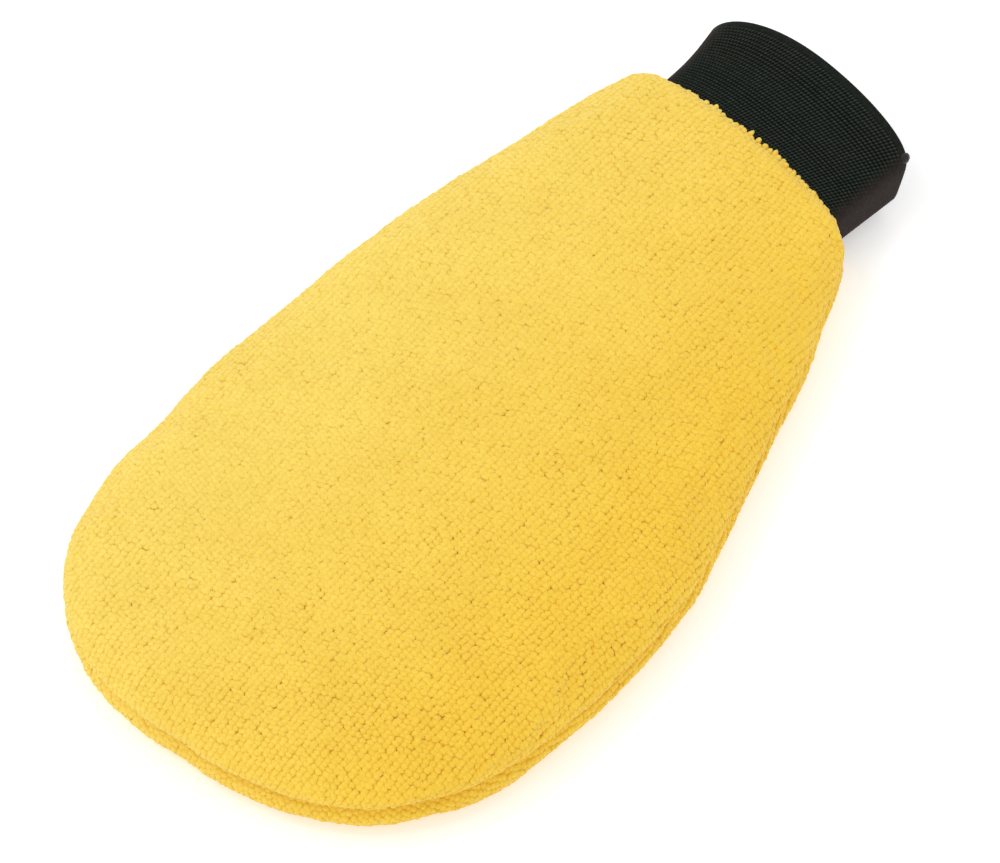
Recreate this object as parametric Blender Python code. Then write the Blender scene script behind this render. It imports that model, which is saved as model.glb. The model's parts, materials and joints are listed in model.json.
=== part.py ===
"""Wash mitt: a padded pocket of microfibre terry with a woven elastic wrist cuff.

Frame: X across the width, +Y from the fingertip end to the cuff, +Z up. The mitt lies on its
back panel, and the origin is the bottom centre of its bounding box. All lengths are in metres.

The body is built from nested shells: terry outside, foam pad, lining. Each shell follows the
same outline and the same rounded edge, a little further in each time, so they never touch.
"""
import math

import bmesh
import bpy
from mathutils import Matrix, Vector

# Driving dimensions
BODY_WIDTH = 0.155              # widest place, seam to seam
BACK_DEPTH = 0.012              # resting face to the perimeter seam
FRONT_HEIGHT = 0.014            # perimeter seam to the top of the washing face
MOUTH_FROM_TIP = 0.254          # fingertip end to the middle of the terry's edge at the cuff
CUFF_LENGTH = 0.0325            # end sewn into the mouth to the free rim, at mid height
CUFF_WIDTH = 0.071              # relaxed cuff, where it is sewn in
CUFF_RIM_WIDTH = 0.0744         # at its free rim
CUFF_BASE_THICKNESS = 0.0176
CUFF_RIM_THICKNESS = 0.0212     # twice the rim's lower half
CUFF_RIM_DOME = 1.21            # the rim's upper half stands this much higher than its lower half

# Outline of the body, seen from above
WIDEST_FROM_TIP = 0.086
TIP_SQUARENESS = 2.5            # superellipse power of the fingertip end
TAPER_SLOPE = 0.285             # how fast each side closes towards the neck
TAPER_EASING = 0.060            # length over which the side turns from parallel to tapered
SPINE_START = 0.055             # where the middle line of the padding starts, from the tip

# The sewn body is not quite symmetric: it bows to the right and the neck is turned a little
BODY_BOW = 0.0028               # how far the bow moves the body sideways
BOW_FROM_TIP = 0.124            # where along the body it is largest
BOW_SPREAD = 0.042
NECK_SHIFT = 0.0026             # the middle of the mouth lies this far right
NECK_TURN = math.radians(9)     # the mouth and cuff are turned clockwise, seen from above
NECK_BLEND_START = 0.180        # distance from the tip where the turn begins

# Rounded edge of the body, in section
EDGE_POWER = 2.4
FRONT_EDGE_REACH = 0.019        # how far in the washing face takes to become flat
BACK_EDGE_REACH = 0.014
FRONT_CROWN = 0.0015            # the washing face still rises this much to its middle

# Layers, as depths below the outer face
TERRY_THICKNESS = 0.0022
FOAM_THICKNESS = 0.005
LINING_THICKNESS = 0.0007
GAP = 0.0003                    # left between neighbouring pieces

# Perimeter seam: the edges turn in and lie face to face at the seam's height
SEAM_GROOVE = 0.0012            # depth and half height of the groove along the seam
ALLOWANCE_WIDTH = 0.0062
ALLOWANCE_THICKNESS = 0.001
SEAM_THREAD_RADIUS = 0.00035
OVERLOCK_RADIUS = 0.0004
LINING_THREAD_RADIUS = 0.00025

# Mouth: the body closes down round the cuff over the last stretch of its length
SHOULDER_LENGTH = 0.020
MOUTH_NARROWING = 0.91
MOUTH_FLATTENING = 0.98
MOUTH_CURVE = 0.0016            # the sides of the mouth lie this far back from its middle

# Cuff: its lower end sits just inside the mouth and turns about the hinge line
HINGE_FROM_MOUTH = 0.003
CUFF_BELOW_HINGE = 0.006
CUFF_WALL = 0.0016
CUFF_POWER = 2.2
CUFF_WAIST = 0.0008             # drawn in at half its length
CUFF_LEAN = 0.0016              # the free rim stands this far left of the base
CUFF_RIM_CURVE = 0.0046         # the sides of the rim lie this far back from its middle
CUFF_RIM_SLANT = 0.30           # the rim's upper side reaches further than its lower side
PADDING_BEFORE_MOUTH = 0.0105   # the padding stops here to clear the cuff's lower end
NECK_THREAD_ALONG_CUFF = 0.0018
NECK_THREAD_RADIUS = 0.0003
CUFF_SEAM_TURN = math.radians(27)   # the side seam runs up the right side, above mid height
CUFF_SEAM_RADIUS = 0.0008
CUFF_SEAM_CLEARANCE = 0.0006    # between the seam and the band
CUFF_SEAM_START = 0.0006        # clear of the cuff's lower end
NUB_RADIUS = 0.0015
NUB_LENGTH = 0.0024
NUB_CLEARANCE = 0.0014          # above the slanting rim
NUB_PROFILE = ((0.3, 1.0), (0.7, 1.0), (1.0, 0.5))      # share of its length, share of its radius

# Fineness of the meshes
TIP_STATIONS = 10
TAPER_STATIONS = 7
SHOULDER_STATIONS = 4
EDGE_STEPS = 5
CROWN_STEPS = 2
CUFF_SIDES = 44
CUFF_STATIONS = 5
THREAD_SIDES = 6
WELD = 1e-6

# Derived places
BODY_THICKNESS = BACK_DEPTH + FRONT_HEIGHT
MIDDLE_Z = BODY_THICKNESS / 2
FOAM_DEPTH = TERRY_THICKNESS + GAP
LINING_DEPTH = FOAM_DEPTH + FOAM_THICKNESS + GAP
PADDING_FROM_TIP = MOUTH_FROM_TIP - PADDING_BEFORE_MOUTH

YELLOW = (0.90, 0.62, 0.085)
BLACK = (0.015, 0.017, 0.014)
FOAM_GREY = (0.62, 0.61, 0.58)
LINING_WHITE = (0.80, 0.79, 0.75)
YELLOW_THREAD = (0.85, 0.56, 0.06)
BLACK_THREAD = (0.020, 0.019, 0.018)


def clear_scene():
    for thing in list(bpy.data.objects):
        bpy.data.objects.remove(thing, do_unlink=True)


def cloth_material(name, colour, roughness):
    material = bpy.data.materials.new(name)
    material.use_nodes = True
    shader = material.node_tree.nodes["Principled BSDF"]
    shader.inputs["Base Color"].default_value = (*colour, 1.0)
    shader.inputs["Roughness"].default_value = roughness
    shader.inputs["Metallic"].default_value = 0.0
    return material


def side_half_width(from_tip):
    """Half width of the body between its widest place and the neck."""
    run = from_tip - WIDEST_FROM_TIP
    return BODY_WIDTH / 2 - TAPER_SLOPE * (math.hypot(run, TAPER_EASING) - TAPER_EASING)


def half_outline(length):
    """Points (half width, distance from tip) along one side, from the tip to the given length."""
    points = []
    for step in range(TIP_STATIONS + 1):
        turn = math.pi / 2 * step / TIP_STATIONS
        across = math.sin(turn) ** (2 / TIP_SQUARENESS)
        along = 1 - max(math.cos(turn), 0.0) ** (2 / TIP_SQUARENESS)
        points.append((BODY_WIDTH / 2 * across, WIDEST_FROM_TIP * along))
    shoulder_start = length - SHOULDER_LENGTH
    for step in range(1, TAPER_STATIONS + 1):
        along = WIDEST_FROM_TIP + (shoulder_start - WIDEST_FROM_TIP) * step / TAPER_STATIONS
        points.append((side_half_width(along), along))
    for step in range(1, SHOULDER_STATIONS + 1):
        along = shoulder_start + SHOULDER_LENGTH * math.sin(math.pi / 2 * step / SHOULDER_STATIONS)
        points.append((side_half_width(along), along))
    return points


def full_outline(length):
    """Stations from the left side of the mouth, round the tip, to the right side of the mouth."""
    side = half_outline(length)
    left = [(-x, y) for x, y in reversed(side[1:])]
    return left + side


def spine_point(from_tip):
    """Point of the middle line that a station's inward ray ends on."""
    if from_tip >= WIDEST_FROM_TIP:
        return from_tip
    share = from_tip / WIDEST_FROM_TIP
    return SPINE_START + share * (WIDEST_FROM_TIP - SPINE_START)


def bow(from_tip):
    """Sideways shift of the body at a distance from the tip."""
    return BODY_BOW * math.exp(-((from_tip - BOW_FROM_TIP) / BOW_SPREAD) ** 2)


def neck_share(from_tip):
    """0 along the body, rising smoothly to 1 at the mouth."""
    run = (from_tip - NECK_BLEND_START) / (MOUTH_FROM_TIP - NECK_BLEND_START)
    run = min(max(run, 0.0), 1.0)
    return run * run * (3 - 2 * run)


def mouth_closing(from_tip):
    """0 along the body, rising to 1 at the mouth along a quarter round."""
    left_over = (MOUTH_FROM_TIP - from_tip) / SHOULDER_LENGTH
    share = min(max(left_over, 0.0), 1.0)
    return 1 - math.sqrt(1 - (1 - share) ** 2)


def body_point(x, from_tip, z):
    """Place a point of the body, drawn in and turned towards the cuff where it is near the mouth."""
    closing = mouth_closing(from_tip)
    x *= 1 - (1 - MOUTH_NARROWING) * closing
    z = MIDDLE_Z + (z - MIDDLE_Z) * (1 - (1 - MOUTH_FLATTENING) * closing)
    turned = neck_share(from_tip)
    drawn_back = x * math.tan(NECK_TURN) + MOUTH_CURVE * (2 * x / CUFF_WIDTH) ** 2
    return (x + bow(from_tip) + NECK_SHIFT * turned, from_tip - drawn_back * turned, z)


def neck_point(x, from_mouth, z):
    """Place a point of the cuff, measured from the middle of the mouth along the turned neck."""
    return (
        NECK_SHIFT + bow(MOUTH_FROM_TIP) + x * math.cos(NECK_TURN) + from_mouth * math.sin(NECK_TURN),
        MOUTH_FROM_TIP + from_mouth * math.cos(NECK_TURN) - x * math.sin(NECK_TURN),
        MIDDLE_Z + z,
    )


def inward(station, distance):
    """Point at a distance in from the outline, along the ray to the middle line."""
    x, y = station
    to_y = spine_point(y) - y
    length = math.hypot(x, to_y)
    share = min(distance / length, 1.0)
    return (x * (1 - share), y + to_y * share)


def spine_distance(station):
    x, y = station
    return math.hypot(x, spine_point(y) - y)


def face_section(depth, height, reach, crown, rim_lift):
    """Section of one face, from the middle line out to the seam.

    Each entry is (distance in, share of the rest of the way to the middle, height, and how
    much of the distance is lost at the mouth).
    """
    flat = height - depth - crown
    section = []
    crown_steps = CROWN_STEPS if crown else 1
    for step in range(crown_steps, 0, -1):
        share = step / crown_steps
        rise = crown * math.sin(share * math.pi / 2)
        section.append((depth + reach, share, flat + rise, 0.0))
    for step in range(EDGE_STEPS, -1, -1):
        turn = math.pi / 2 * step / EDGE_STEPS
        away = 1 - max(math.cos(turn), 0.0) ** (2 / EDGE_POWER)
        rise = math.sin(turn) ** (2 / EDGE_POWER)
        section.append((depth + reach * away, 0.0, rim_lift + (flat - rim_lift) * rise, 0.0))
    return section


def section_column(station, section, side):
    """World points of a section at one station; side is 1 for the front and -1 for the back."""
    column = []
    closing = mouth_closing(station[1])
    for distance, share, height, lost_at_mouth in section:
        distance -= lost_at_mouth * closing
        reach_in = distance + (spine_distance(station) - distance) * share
        x, y = inward(station, reach_in)
        column.append(body_point(x, y, BACK_DEPTH + side * height))
    return column


def new_object(name, mesh_builder, colour, roughness, parent=None):
    """Make a closed, smooth-shaded object from a bmesh, kept in place under its parent."""
    mesh_builder.verts.ensure_lookup_table()
    bmesh.ops.remove_doubles(mesh_builder, verts=mesh_builder.verts, dist=WELD)
    bmesh.ops.recalc_face_normals(mesh_builder, faces=mesh_builder.faces)
    mesh = bpy.data.meshes.new(name)
    mesh_builder.to_mesh(mesh)
    mesh_builder.free()
    mesh.shade_smooth()
    mesh.set_sharp_from_angle(angle=math.radians(40))
    piece = bpy.data.objects.new(name, mesh)
    mesh.materials.append(cloth_material(name, colour, roughness))
    bpy.context.scene.collection.objects.link(piece)
    if parent is not None:
        mesh.transform(parent.matrix_basis.inverted())
        piece.parent = parent
    return piece


def skin_columns(builder, columns, wrap_columns, wrap_rows):
    """Join neighbouring columns of points with quads, and return the vertices made."""
    made = [[builder.verts.new(point) for point in column] for column in columns]
    column_pairs = list(zip(made, made[1:]))
    if wrap_columns:
        column_pairs.append((made[-1], made[0]))
    for first, second in column_pairs:
        rows = list(range(len(first) - 1))
        if wrap_rows:
            rows.append(-1)
        for row in rows:
            builder.faces.new((first[row], first[row + 1], second[row + 1], second[row]))
    return made


def shell(name, side, outer, edge, inner, length, colour, roughness):
    """A domed layer: outer face, edge points along the seam, inner face, and a cap at the mouth."""
    section = outer + edge + list(reversed(inner))
    columns = [section_column(station, section, side) for station in full_outline(length)]
    builder = bmesh.new()
    skin_columns(builder, columns, wrap_columns=False, wrap_rows=False)
    bmesh.ops.remove_doubles(builder, verts=builder.verts, dist=WELD)
    open_edges = [edge_line for edge_line in builder.edges if edge_line.is_boundary]
    bmesh.ops.contextual_create(builder, geom=open_edges)
    return new_object(name, builder, colour, roughness)


def side_height(side):
    return FRONT_HEIGHT if side > 0 else BACK_DEPTH


def side_reach(side, depth):
    reach = FRONT_EDGE_REACH if side > 0 else BACK_EDGE_REACH
    return reach - depth / 2


def side_crown(side):
    return FRONT_CROWN if side > 0 else 0.0


def layer_face(side, depth, rim_lift):
    return face_section(depth, side_height(side), side_reach(side, depth), side_crown(side), rim_lift)


def terry_panel(name, side):
    """Outer cloth, its edge turned in as a flat allowance that is trimmed away at the mouth."""
    flange_top = GAP / 2 + ALLOWANCE_THICKNESS
    outer = layer_face(side, 0.0, SEAM_GROOVE)
    inner = layer_face(side, TERRY_THICKNESS, flange_top)
    trimmed = ALLOWANCE_WIDTH - TERRY_THICKNESS - GAP
    edge = [
        (SEAM_GROOVE, 0.0, GAP / 2, 0.0),
        (ALLOWANCE_WIDTH, 0.0, GAP / 2, trimmed),
        (ALLOWANCE_WIDTH, 0.0, flange_top, trimmed),
    ]
    return shell(name, side, outer, edge, inner, MOUTH_FROM_TIP, YELLOW, 0.95)


def foam_pad(name, side):
    """Sponge layer, lying on top of the turned-in allowance."""
    rim_lift = GAP / 2 + ALLOWANCE_THICKNESS + GAP
    outer = layer_face(side, FOAM_DEPTH, rim_lift)
    inner = layer_face(side, FOAM_DEPTH + FOAM_THICKNESS, rim_lift)
    return shell(name, side, outer, [], inner, PADDING_FROM_TIP, FOAM_GREY, 0.9)


def lining(name, side):
    """Smooth cloth round the hand."""
    outer = layer_face(side, LINING_DEPTH, GAP / 2)
    inner = layer_face(side, LINING_DEPTH + LINING_THICKNESS, GAP / 2)
    return shell(name, side, outer, [], inner, PADDING_FROM_TIP, LINING_WHITE, 0.7)


def outline_thread(name, distance_in, radius, length, colour):
    """A thread that follows the outline at the seam's height."""
    columns = []
    for station in full_outline(length):
        column = []
        for side in range(THREAD_SIDES):
            turn = 2 * math.pi * side / THREAD_SIDES
            x, y = inward(station, distance_in + radius * math.cos(turn))
            column.append(body_point(x, y, BACK_DEPTH + radius * math.sin(turn)))
        columns.append(column)
    builder = bmesh.new()
    made = skin_columns(builder, columns, wrap_columns=False, wrap_rows=True)
    builder.faces.new(made[0])
    builder.faces.new(made[-1])
    return new_object(name, builder, colour, 0.6)


def between(first, last, share):
    return first + (last - first) * share


def signed_power(value, power):
    return math.copysign(abs(value) ** power, value)


def cuff_point(turn, along, wall):
    """Point of the cuff: angle round it, share of its length, depth below its outside."""
    waist = CUFF_WAIST * math.sin(math.pi * along)
    half_width = between(CUFF_WIDTH, CUFF_RIM_WIDTH, along) / 2 - waist - wall
    dome = between(1.0, CUFF_RIM_DOME, along) if math.sin(turn) > 0 else 1.0
    half_height = dome * between(CUFF_BASE_THICKNESS, CUFF_RIM_THICKNESS, along) / 2 - wall
    across = signed_power(math.cos(turn), 2 / CUFF_POWER)
    z = half_height * signed_power(math.sin(turn), 2 / CUFF_POWER)
    length = CUFF_LENGTH + CUFF_RIM_SLANT * z * along
    drawn_back = between(MOUTH_CURVE, CUFF_RIM_CURVE, along) * across ** 2
    from_mouth = HINGE_FROM_MOUTH - CUFF_BELOW_HINGE + length * along - drawn_back
    return neck_point(half_width * across - CUFF_LEAN * along, from_mouth, z)


def cuff_band(parent):
    """Woven elastic tube, open at both ends."""
    shares = [step / CUFF_STATIONS for step in range(CUFF_STATIONS + 1)]
    section = [(share, 0.0) for share in shares] + [(share, CUFF_WALL) for share in reversed(shares)]
    columns = []
    for side in range(CUFF_SIDES):
        turn = 2 * math.pi * side / CUFF_SIDES
        columns.append([cuff_point(turn, share, wall) for share, wall in section])
    builder = bmesh.new()
    skin_columns(builder, columns, wrap_columns=True, wrap_rows=True)
    return new_object("cuff_band", builder, BLACK, 0.85, parent)


def ring_round(centre, radius, sides):
    """Upright ring of points about a centre, facing along Y."""
    x, y, z = centre
    turns = [2 * math.pi * side / sides for side in range(sides)]
    return [(x + radius * math.cos(turn), y, z + radius * math.sin(turn)) for turn in turns]


def cuff_seam_thread(parent):
    """Bound seam up the inside of the cuff's right side, ending in a nub over the rim."""
    inside = CUFF_WALL + CUFF_SEAM_CLEARANCE + CUFF_SEAM_RADIUS
    sides = 2 * THREAD_SIDES
    seam_start = CUFF_SEAM_START / CUFF_LENGTH
    columns = []
    for step in range(CUFF_STATIONS + 1):
        share = seam_start + (1 - seam_start) * step / CUFF_STATIONS
        columns.append(ring_round(cuff_point(CUFF_SEAM_TURN, share, inside), CUFF_SEAM_RADIUS, sides))
    rim = cuff_point(CUFF_SEAM_TURN, 1.0, inside)
    over_rim = cuff_point(CUFF_SEAM_TURN, 1.0, 0.0)
    nub_start = over_rim[1] + NUB_CLEARANCE
    columns.append(ring_round((rim[0], nub_start, over_rim[2]), CUFF_SEAM_RADIUS, sides))
    for share, fullness in NUB_PROFILE:
        centre = (over_rim[0], nub_start + NUB_LENGTH * share, over_rim[2])
        columns.append(ring_round(centre, NUB_RADIUS * fullness, sides))
    builder = bmesh.new()
    made = skin_columns(builder, columns, wrap_columns=False, wrap_rows=True)
    builder.faces.new(made[0])
    builder.faces.new(made[-1])
    return new_object("cuff_seam_thread", builder, BLACK_THREAD, 0.6, parent)


def neck_seam_thread(parent):
    """Ring of stitching round the cuff's lower end, where it is sewn into the mouth."""
    columns = []
    for side in range(CUFF_SIDES):
        turn = 2 * math.pi * side / CUFF_SIDES
        column = []
        for step in range(THREAD_SIDES):
            roll = 2 * math.pi * step / THREAD_SIDES
            outwards = GAP + NECK_THREAD_RADIUS * (1 + math.cos(roll))
            along = (NECK_THREAD_ALONG_CUFF + NECK_THREAD_RADIUS * math.sin(roll)) / CUFF_LENGTH
            column.append(cuff_point(turn, along, -outwards))
        columns.append(column)
    builder = bmesh.new()
    skin_columns(builder, columns, wrap_columns=True, wrap_rows=True)
    return new_object("neck_seam_thread", builder, BLACK_THREAD, 0.6, parent)


def cuff_hinge():
    """Empty on the line about which the cuff bends up from the body."""
    hinge = bpy.data.objects.new("cuff_hinge", None)
    hinge.location = neck_point(0.0, HINGE_FROM_MOUTH, 0.0)
    bpy.context.scene.collection.objects.link(hinge)
    bpy.context.view_layer.update()
    return hinge


def centre_on_origin():
    """Move everything so that the origin is the bottom centre of the mitt's bounding box."""
    bpy.context.view_layer.update()
    corners = []
    for thing in bpy.data.objects:
        if thing.type == "MESH":
            corners += [thing.matrix_world @ vertex.co for vertex in thing.data.vertices]
    middle_x = (min(point.x for point in corners) + max(point.x for point in corners)) / 2
    middle_y = (min(point.y for point in corners) + max(point.y for point in corners)) / 2
    for thing in bpy.data.objects:
        if thing.type == "EMPTY":
            thing.location -= Vector((middle_x, middle_y, 0.0))
        elif thing.parent is None:
            thing.data.transform(Matrix.Translation((-middle_x, -middle_y, 0.0)))
    print("hinge at", [round(value, 5) for value in bpy.data.objects["cuff_hinge"].location])


def build_mitt():
    clear_scene()
    for side, word in ((1, "front"), (-1, "back")):
        terry_panel(f"{word}_terry_panel", side)
        foam_pad(f"{word}_foam_pad", side)
        lining(f"{word}_lining", side)
    outline_thread("perimeter_seam_thread", SEAM_GROOVE / 2, SEAM_THREAD_RADIUS,
                   MOUTH_FROM_TIP, YELLOW_THREAD)
    outline_thread("perimeter_overlock_thread", ALLOWANCE_WIDTH + GAP + OVERLOCK_RADIUS,
                   OVERLOCK_RADIUS, PADDING_FROM_TIP, YELLOW_THREAD)
    outline_thread("lining_seam_thread", LINING_DEPTH + LINING_THICKNESS + GAP + LINING_THREAD_RADIUS,
                   LINING_THREAD_RADIUS, PADDING_FROM_TIP, LINING_WHITE)
    hinge = cuff_hinge()
    cuff_band(hinge)
    cuff_seam_thread(hinge)
    neck_seam_thread(hinge)
    centre_on_origin()


build_mitt()
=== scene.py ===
"""Looks of the wash mitt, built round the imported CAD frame.

The body is a padded pillow of terry cloth. Its surface follows the rules of the CAD panels and is
puffed by a short cloth simulation. It carries a real pile: thousands of small knobs of yarn, set
out in rows on the flat cloth and lifted onto the pillow. The cuff is a woven elastic tube with
every rib and stitch in its mesh. All lengths are in metres.
"""

import json
import math

import bmesh
import bpy
import numpy as np
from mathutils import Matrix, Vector
from mathutils.bvhtree import BVHTree
from mathutils.kdtree import KDTree


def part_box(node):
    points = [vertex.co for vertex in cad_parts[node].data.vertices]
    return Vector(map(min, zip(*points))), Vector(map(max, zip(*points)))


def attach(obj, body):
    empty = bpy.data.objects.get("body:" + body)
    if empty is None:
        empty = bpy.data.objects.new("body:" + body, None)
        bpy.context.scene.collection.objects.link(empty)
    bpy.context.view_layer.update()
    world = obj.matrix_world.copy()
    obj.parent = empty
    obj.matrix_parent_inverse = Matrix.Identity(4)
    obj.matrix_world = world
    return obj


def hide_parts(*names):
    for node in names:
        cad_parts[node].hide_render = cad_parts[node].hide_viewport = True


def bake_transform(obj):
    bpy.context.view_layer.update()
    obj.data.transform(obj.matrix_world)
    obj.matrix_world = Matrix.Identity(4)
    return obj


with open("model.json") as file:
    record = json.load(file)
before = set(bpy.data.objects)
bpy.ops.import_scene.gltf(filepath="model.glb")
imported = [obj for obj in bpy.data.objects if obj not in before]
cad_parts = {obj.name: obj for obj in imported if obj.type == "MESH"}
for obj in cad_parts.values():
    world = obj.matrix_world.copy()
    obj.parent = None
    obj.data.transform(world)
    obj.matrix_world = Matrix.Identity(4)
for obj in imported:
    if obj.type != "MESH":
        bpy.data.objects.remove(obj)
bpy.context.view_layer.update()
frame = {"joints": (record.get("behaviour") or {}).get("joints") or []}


def node_box(node):
    low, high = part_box(node)
    return np.array(low), np.array(high)


# Rules shared with the CAD part
HINGE_FROM_MOUTH = 0.003
WIDEST = 0.086                  # distance from the tip to the widest place
TIP_SQUARENESS = 2.5
TAPER_SLOPE = 0.285
TAPER_EASING = 0.060
SPINE_START = 0.055
BOW = 0.0028
BOW_FROM_TIP = 0.124
BOW_SPREAD = 0.042
CAD_NECK_SHIFT = 0.0026
NECK_BLEND_START = 0.180
MOUTH_CURVE = 0.0016            # how far the mouth's ends are drawn back towards the tip
EDGE_POWER = 2.4
FRONT_REACH = 0.019
BACK_REACH = 0.014
FRONT_CROWN = 0.0015
NECK_NARROWING = 0.91
NECK_FLATTENING = 0.98
CUFF_BELOW_MOUTH = 0.003
CUFF_POWER = 2.2
CUFF_RIM_CURVE = 0.0046
CUFF_RIM_SLANT = 0.30

# Places read from the frame
FRONT_LOW, FRONT_HIGH = node_box("front_terry_panel")
BACK_LOW, BACK_HIGH = node_box("back_terry_panel")
CUFF_LOW, CUFF_HIGH = node_box("cuff_band")
HINGE = np.array(frame["joints"][0]["pos_m"])
HINGE_AXIS = np.array(frame["joints"][0]["axis"])
NECK_TURN = math.atan2(-HINGE_AXIS[1], HINGE_AXIS[0])
MOUTH = HINGE - HINGE_FROM_MOUTH * np.array([math.sin(NECK_TURN), math.cos(NECK_TURN), 0.0])
BODY_X = MOUTH[0] - CAD_NECK_SHIFT
TIP_Y = FRONT_LOW[1]
BODY_LENGTH = MOUTH[1] - TIP_Y
HALF_WIDTH = (FRONT_HIGH[0] - FRONT_LOW[0]) / 2
SEAM_Z = (FRONT_LOW[2] + BACK_HIGH[2]) / 2
FRONT_HEIGHT = FRONT_HIGH[2] - SEAM_Z
BACK_DEPTH = SEAM_Z - BACK_LOW[2]
FLOOR_Z = BACK_LOW[2]
MIDDLE_Z = HINGE[2]
CUFF_RIM_HALF = MIDDLE_Z - CUFF_LOW[2]
CUFF_RIM_DOME = (CUFF_HIGH[2] - MIDDLE_Z) / CUFF_RIM_HALF

# Where the soft mitt settles a little off the CAD's even shape
NECK_SHIFT = 0.0012             # sideways shift of the neck
MOUTH[0] = BODY_X + NECK_SHIFT
RIGHT_SHOULDER = 0.020          # how far before the mouth each side begins to close
LEFT_SHOULDER = 0.013
TIP_SKEW = 0.044                # the left half of the fingertip end reaches further than the right
TIP_TUCK = 0.0012               # how far the fingertip edge is drawn in
SIDE_SWAYS = (                  # side, distance from the tip, spread, how far the edge moves to the right
    (-1, 0.068, 0.034, 0.0026),
    (-1, 0.080, 0.012, 0.0014),
    (-1, 0.190, 0.050, -0.0030),
    (-1, 0.236, 0.014, -0.0020),
    (1, 0.110, 0.045, 0.0010),
    (1, 0.211, 0.032, 0.0028),
)
MOUTH_SWELL = 0.0013            # how far the middle of the mouth's edge reaches over the cuff
CUFF_LENGTH = 0.0330
CUFF_HALF_WIDTH = 0.0362
CUFF_RIM_HALF_WIDTH = 0.0384
CUFF_BASE_HALF = 0.0096
CUFF_LEAN = 0.0022
CUFF_WAIST = 0.0013
CUFF_LEFT_ROUND = 0.0016        # how far the rim's left corner is rounded off

# Soft details of the body
LIP_LENGTH = 0.0062             # the cloth turns in to meet the cuff over this length
LIP_CLEARANCE = 0.0003
GROOVE_DEPTH = 0.0032           # how far the seam is drawn in
GROOVE_WIDTH = 0.0029
RIPPLE = 0.0004                 # unevenness of the seam line
RIPPLE_HEIGHT = 0.006
ALLOWANCE = 0.0062
TRIMMED_SHARE = 0.1             # what is left of the allowance beside the cuff
SEAM_END = 9                    # stations left free of stitches at each end of the outline
BINDING_END = 3                 # stations left free at each end of the hidden binding
LONG_RIPPLE = 0.041             # wave lengths of the seam line's unevenness
SHORT_RIPPLE = 0.0234
HOLD_OF_SEAM = 14               # rows from the seam over which the slow rise and fall sets in
UNEVENNESS = 0.0010             # slow rise and fall of the washing face

# Layers, as depths below the tips of the pile
PILE_HEIGHT = 0.0012
BACKING = 0.0007
SPONGE_DEPTH = 0.0030
SPONGE_THICKNESS = 0.0042
LINING_DEPTH = 0.0078
LINING_THICKNESS = 0.0006
PADDING_STOPS = 0.0105          # distance before the mouth

# Pile: pitch of the knobs across and along the rows
ROW_PITCH = 0.00186
KNOB_PITCH = 0.00146
KNOB_WIDE = 0.00103             # half sizes of a knob, across and along the rows
KNOB_LONG = 0.00084
KNOB_SIDES = 8
ROUND_KNOB = ((1.32, 0.00), (1.17, 0.54), (0.74, 0.86))     # radius and height of each ring
FLAT_KNOB = ((1.36, 0.00), (1.24, 0.66), (0.84, 0.93))
FLUFFED_LENGTH = 0.10           # unpressed knobs are this much longer, so that they run together
FULLER = 0.20                   # how much fuller knobs stand on the left and by the mouth
SLIMMER_AT_LIP = 0.3            # knobs at the mouth's edge are narrower by this share
SEWN_DOWN = 0.0035              # knobs are shorter this near the seam
ROUND_BORDER = 0.006            # knobs stay round this near the seam, and are pressed flat
FLATTENING = 0.045              # over this distance further in
PILE_STRIPS = 4

# Woven cuff
RIB_PITCH = 0.00112
STITCH_PITCH = 0.00104
RIB_HEIGHT = 0.00038
STITCH_HEIGHT = 0.00016
BAND_WALL = 0.0015
SELVEDGE = 0.0020
FOLD_SQUARENESS = 2.8           # the right side, where the band is sewn closed, is folded flat
SIDE_SEAM_TURN = math.radians(25)
FOLD_MIDDLE = math.radians(-10) # the flat side wall: its middle, how far it reaches, and how softly it ends
FOLD_REACH = math.radians(50)
FOLD_BLEND = math.radians(24)
PLAIN_LEFT = 0.86               # beyond this share of the half width the left side looks plain

SEED = 20


# ---------------------------------------------------------------- meshes

def add_mesh(name, points, faces, smooth=True, attributes=None):
    """Make an object from an array of points and an array of triangles or quads."""
    faces = np.asarray(faces, np.int32)
    mesh = bpy.data.meshes.new(name)
    mesh.vertices.add(len(points))
    mesh.vertices.foreach_set("co", np.asarray(points, np.float32).ravel())
    mesh.loops.add(faces.size)
    mesh.loops.foreach_set("vertex_index", faces.ravel())
    mesh.polygons.add(len(faces))
    mesh.polygons.foreach_set("loop_start", np.arange(len(faces), dtype=np.int32) * faces.shape[1])
    mesh.update(calc_edges=True)
    if smooth:
        mesh.shade_smooth()
    for key, values in (attributes or {}).items():
        layer = mesh.attributes.new(key, "FLOAT", "POINT")
        layer.data.foreach_set("value", np.asarray(values, np.float32).ravel())
    piece = bpy.data.objects.new(name, mesh)
    bpy.context.scene.collection.objects.link(piece)
    return piece


def grid_faces(columns, rows, wrap_columns=False, wrap_rows=False):
    """Quads of a grid whose vertex number is column * rows + row."""
    column = np.arange(columns if wrap_columns else columns - 1)
    row = np.arange(rows if wrap_rows else rows - 1)
    c, r = (a.ravel() for a in np.meshgrid(column, row, indexing="ij"))
    c_next, r_next = (c + 1) % columns, (r + 1) % rows
    return np.stack([c * rows + r, c_next * rows + r, c_next * rows + r_next, c * rows + r_next], axis=1)


def add_grid(name, points, wrap_columns=False, wrap_rows=False, attributes=None):
    """Make a welded object from a grid of points, columns by rows by 3."""
    faces = grid_faces(points.shape[0], points.shape[1], wrap_columns, wrap_rows)
    return weld(add_mesh(name, points.reshape(-1, 3), faces, attributes=attributes))


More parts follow.
